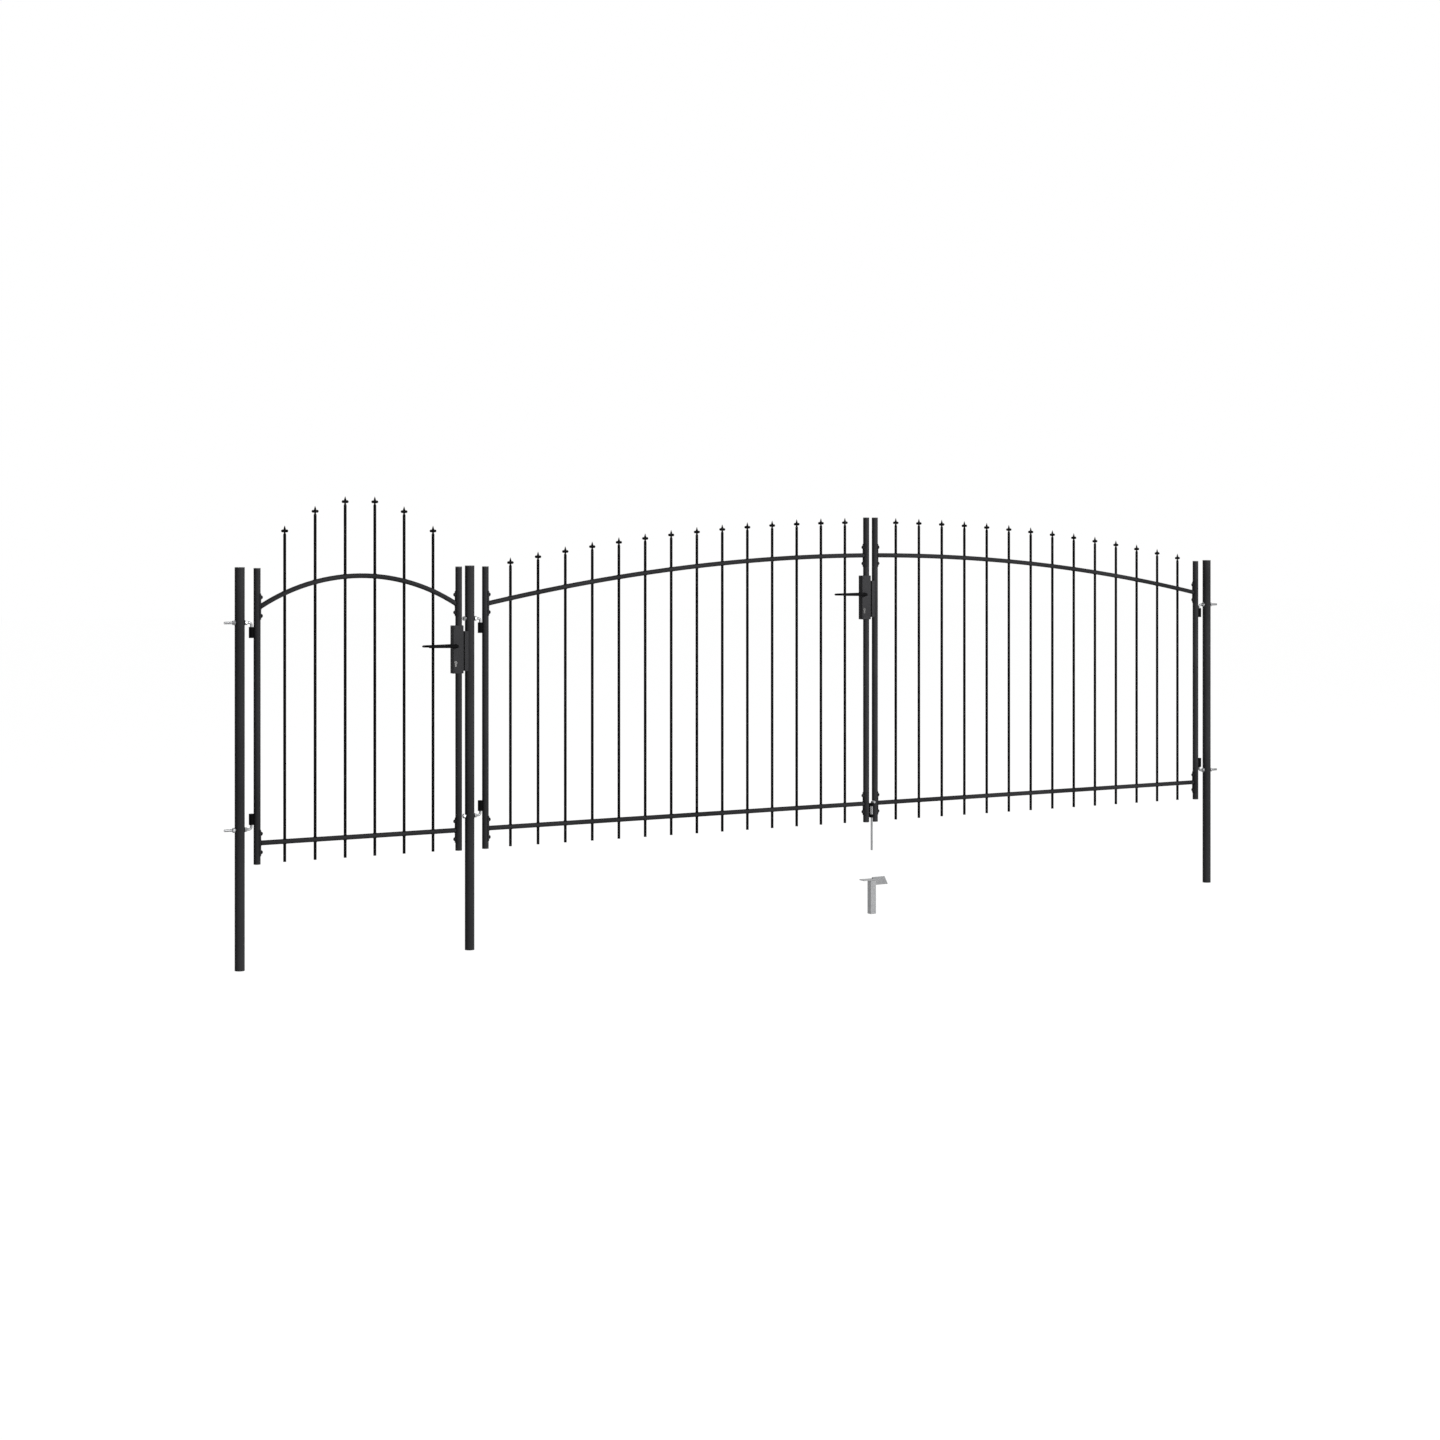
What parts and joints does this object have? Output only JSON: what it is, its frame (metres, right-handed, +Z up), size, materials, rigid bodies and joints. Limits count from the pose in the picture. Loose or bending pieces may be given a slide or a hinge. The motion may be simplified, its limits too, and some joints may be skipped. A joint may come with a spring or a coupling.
{
  "type": "driveway gate",
  "caption": "Arched double driveway gate with a pedestrian leaf beside it, of round steel bars with spear points, on hook hinges, with lever locks and a drop bolt.",
  "frame": {"origin": "centre of the underside of the middle post's foot", "axes": "+X along the gate from the pedestrian leaf to the drive leaves, +Y away from the side with the drop bolt, towards which all leaves open, +Z up"},
  "size_m": [5.1271, 0.079, 1.888],
  "materials": {
    "powder_coat": "satin black powder coat",
    "galvanised": "dull galvanised zinc",
    "cap_plastic": "matt black moulded plastic",
    "key_steel": "satin nickel plate"
  },
  "bodies": {
    "posts": {"left_post": "powder_coat", "middle_post": "powder_coat", "right_post": "powder_coat", "post_caps": "cap_plastic", "left_post_hinge_hooks": "galvanised", "middle_post_hinge_hooks": "galvanised", "right_post_hinge_hooks": "galvanised", "hinge_hook_nuts": "galvanised", "pedestrian_keep": "powder_coat", "ground_socket": "galvanised"},
    "pedestrian_leaf": {"pedestrian_hinge_stile": "powder_coat", "pedestrian_lock_stile": "powder_coat", "pedestrian_stile_plugs": "cap_plastic", "pedestrian_panel": "powder_coat", "pedestrian_spears": "powder_coat", "pedestrian_knuckles": "powder_coat", "pedestrian_lock_case": "powder_coat", "pedestrian_key_barrel": "key_steel"},
    "left_leaf": {"left_hinge_stile": "powder_coat", "left_lock_stile": "powder_coat", "left_stile_plugs": "cap_plastic", "left_panel": "powder_coat", "left_spears": "powder_coat", "left_knuckles": "powder_coat", "main_lock_case": "powder_coat", "main_key_barrel": "key_steel", "drop_bolt_guide": "powder_coat"},
    "right_leaf": {"right_meeting_stile": "powder_coat", "right_hinge_stile": "powder_coat", "right_stile_plugs": "cap_plastic", "right_panel": "powder_coat", "right_spears": "powder_coat", "right_knuckles": "powder_coat", "main_keep": "powder_coat"},
    "pedestrian_lever": {"pedestrian_levers": "powder_coat"},
    "main_lever": {"main_levers": "powder_coat"},
    "drop_bolt": {"drop_bolt": "galvanised"}
  },
  "joints": [
    {"name": "pedestrian_leaf_hinge", "type": "hinge", "parent": "posts", "child": "pedestrian_leaf", "pos_m": [-0.9488, 0, 0.97], "axis": [0, 0, 1], "range_deg": [0, 100]},
    {"name": "left_leaf_hinge", "type": "hinge", "parent": "posts", "child": "left_leaf", "pos_m": [0.048, 0, 0.97], "axis": [0, 0, 1], "range_deg": [0, 100]},
    {"name": "right_leaf_hinge", "type": "hinge", "parent": "posts", "child": "right_leaf", "pos_m": [3.9543, 0, 0.97], "axis": [0, 0, -1], "range_deg": [0, 100]},
    {"name": "pedestrian_lever_turn", "type": "hinge", "parent": "pedestrian_leaf", "child": "pedestrian_lever", "pos_m": [-0.0708, 0, 1.26818], "axis": [0, -1, 0], "range_deg": [0, 35], "stiffness_Nm_per_rad": 1.5, "springref_deg": -20.05},
    {"name": "main_lever_turn", "type": "hinge", "parent": "left_leaf", "child": "main_lever", "pos_m": [1.9564, 0, 1.45797], "axis": [0, -1, 0], "range_deg": [0, 35], "stiffness_Nm_per_rad": 1.5, "springref_deg": -20.05},
    {"name": "drop_bolt_slide", "type": "slide", "parent": "left_leaf", "child": "drop_bolt", "axis": [0, 0, 1], "range_m": [0, 0.09]}
  ]
}
